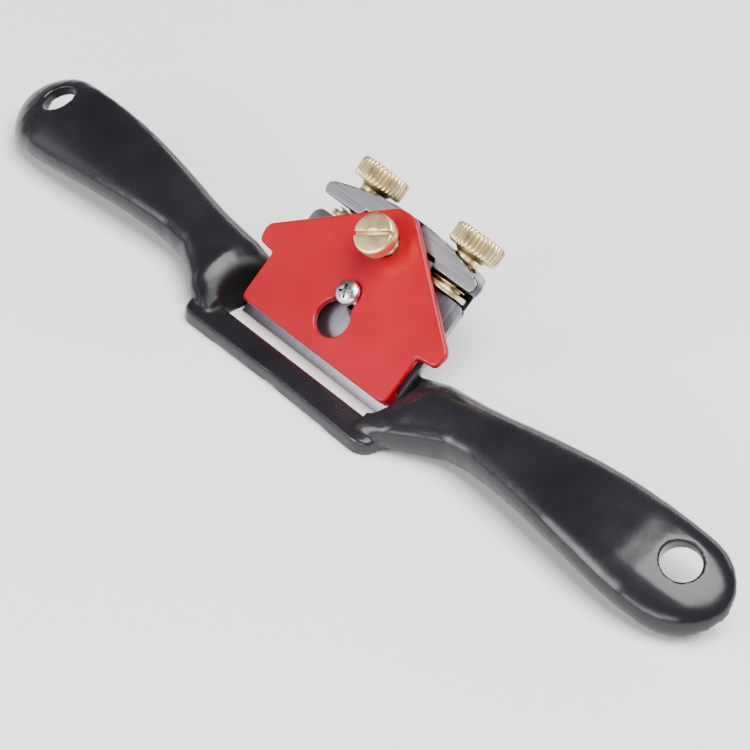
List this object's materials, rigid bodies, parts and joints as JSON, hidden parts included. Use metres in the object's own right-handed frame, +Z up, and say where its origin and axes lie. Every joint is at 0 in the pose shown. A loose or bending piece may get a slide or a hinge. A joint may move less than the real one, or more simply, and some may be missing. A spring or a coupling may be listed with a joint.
{
  "type": "spokeshave",
  "caption": "Flat-sole metal spokeshave with black cast body and winged handles, steel blade on a 45 degree bed, red lever cap and knurled brass feed screws",
  "frame": {"origin": "under the middle of the object's box, in the plane of the sole", "axes": "+X runs along the two handles, +Y from the toe to the heel and the adjusting screws, +Z up out of the work"},
  "size_m": [0.2126, 0.0485, 0.0322],
  "materials": {
    "enamel": "glossy black enamel over cast iron, sole and bridge face milled bare",
    "red_paint": "glossy red paint",
    "blade_steel": "satin ground tool steel",
    "brass": "pale turned brass, knurled heads",
    "zinc": "bright zinc plate"
  },
  "bodies": {
    "body": {"body_casting": "enamel"},
    "left_collar": {"adjuster_collar_left": "brass"},
    "right_collar": {"adjuster_collar_right": "brass"},
    "left_screw": {"adjuster_screw_left": "brass"},
    "right_screw": {"adjuster_screw_right": "brass"},
    "blade": {"blade": "blade_steel"},
    "lever_cap": {"lever_cap": "red_paint"},
    "clamp_screw": {"cap_clamp_screw": "brass"},
    "fixing_screw": {"cap_fixing_screw": "zinc"}
  },
  "joints": [
    {"name": "left_collar_slide", "type": "slide", "parent": "body", "child": "left_collar", "axis": [0, 0.7071, 0.7071], "range_m": [-0.0006, 0.00035]},
    {"name": "right_collar_slide", "type": "slide", "parent": "body", "child": "right_collar", "axis": [0, 0.7071, 0.7071], "range_m": [-0.0006, 0.00035]},
    {"name": "left_screw_turn", "type": "hinge", "parent": "left_collar", "child": "left_screw", "pos_m": [-0.0144, 0.01032, 0.01828], "axis": [0, 0.7071, 0.7071], "range_deg": [-309, 181]},
    {"name": "right_screw_turn", "type": "hinge", "parent": "right_collar", "child": "right_screw", "pos_m": [0.0144, 0.01032, 0.01828], "axis": [0, 0.7071, 0.7071], "range_deg": [-309, 181]},
    {"name": "blade_skew", "type": "hinge", "parent": "left_collar", "child": "blade", "pos_m": [-0.0144, 0.00841, 0.02019], "axis": [0, -0.7071, 0.7071], "range_deg": [-0.5, 0.5]},
    {"name": "lever_cap_slide", "type": "slide", "parent": "body", "child": "lever_cap", "axis": [0, 0.7071, 0.7071], "range_m": [0, 0.0052]},
    {"name": "clamp_screw_turn", "type": "hinge", "parent": "lever_cap", "child": "clamp_screw", "pos_m": [0, 0.00929, 0.02107], "axis": [0, -0.7071, 0.7071], "range_deg": [0, 720]},
    {"name": "fixing_screw_turn", "type": "hinge", "parent": "body", "child": "fixing_screw", "pos_m": [0, 0.0001, 0.01188], "axis": [0, -0.7071, 0.7071], "range_deg": [0, 720]}
  ],
  "couplings": [
    {"joint": "right_collar_slide", "follows": "left_collar_slide", "ratio": 1},
    {"joint": "left_screw_turn", "follows": "left_collar_slide", "rad_per_m": 8976},
    {"joint": "right_screw_turn", "follows": "left_collar_slide", "rad_per_m": 8976}
  ]
}
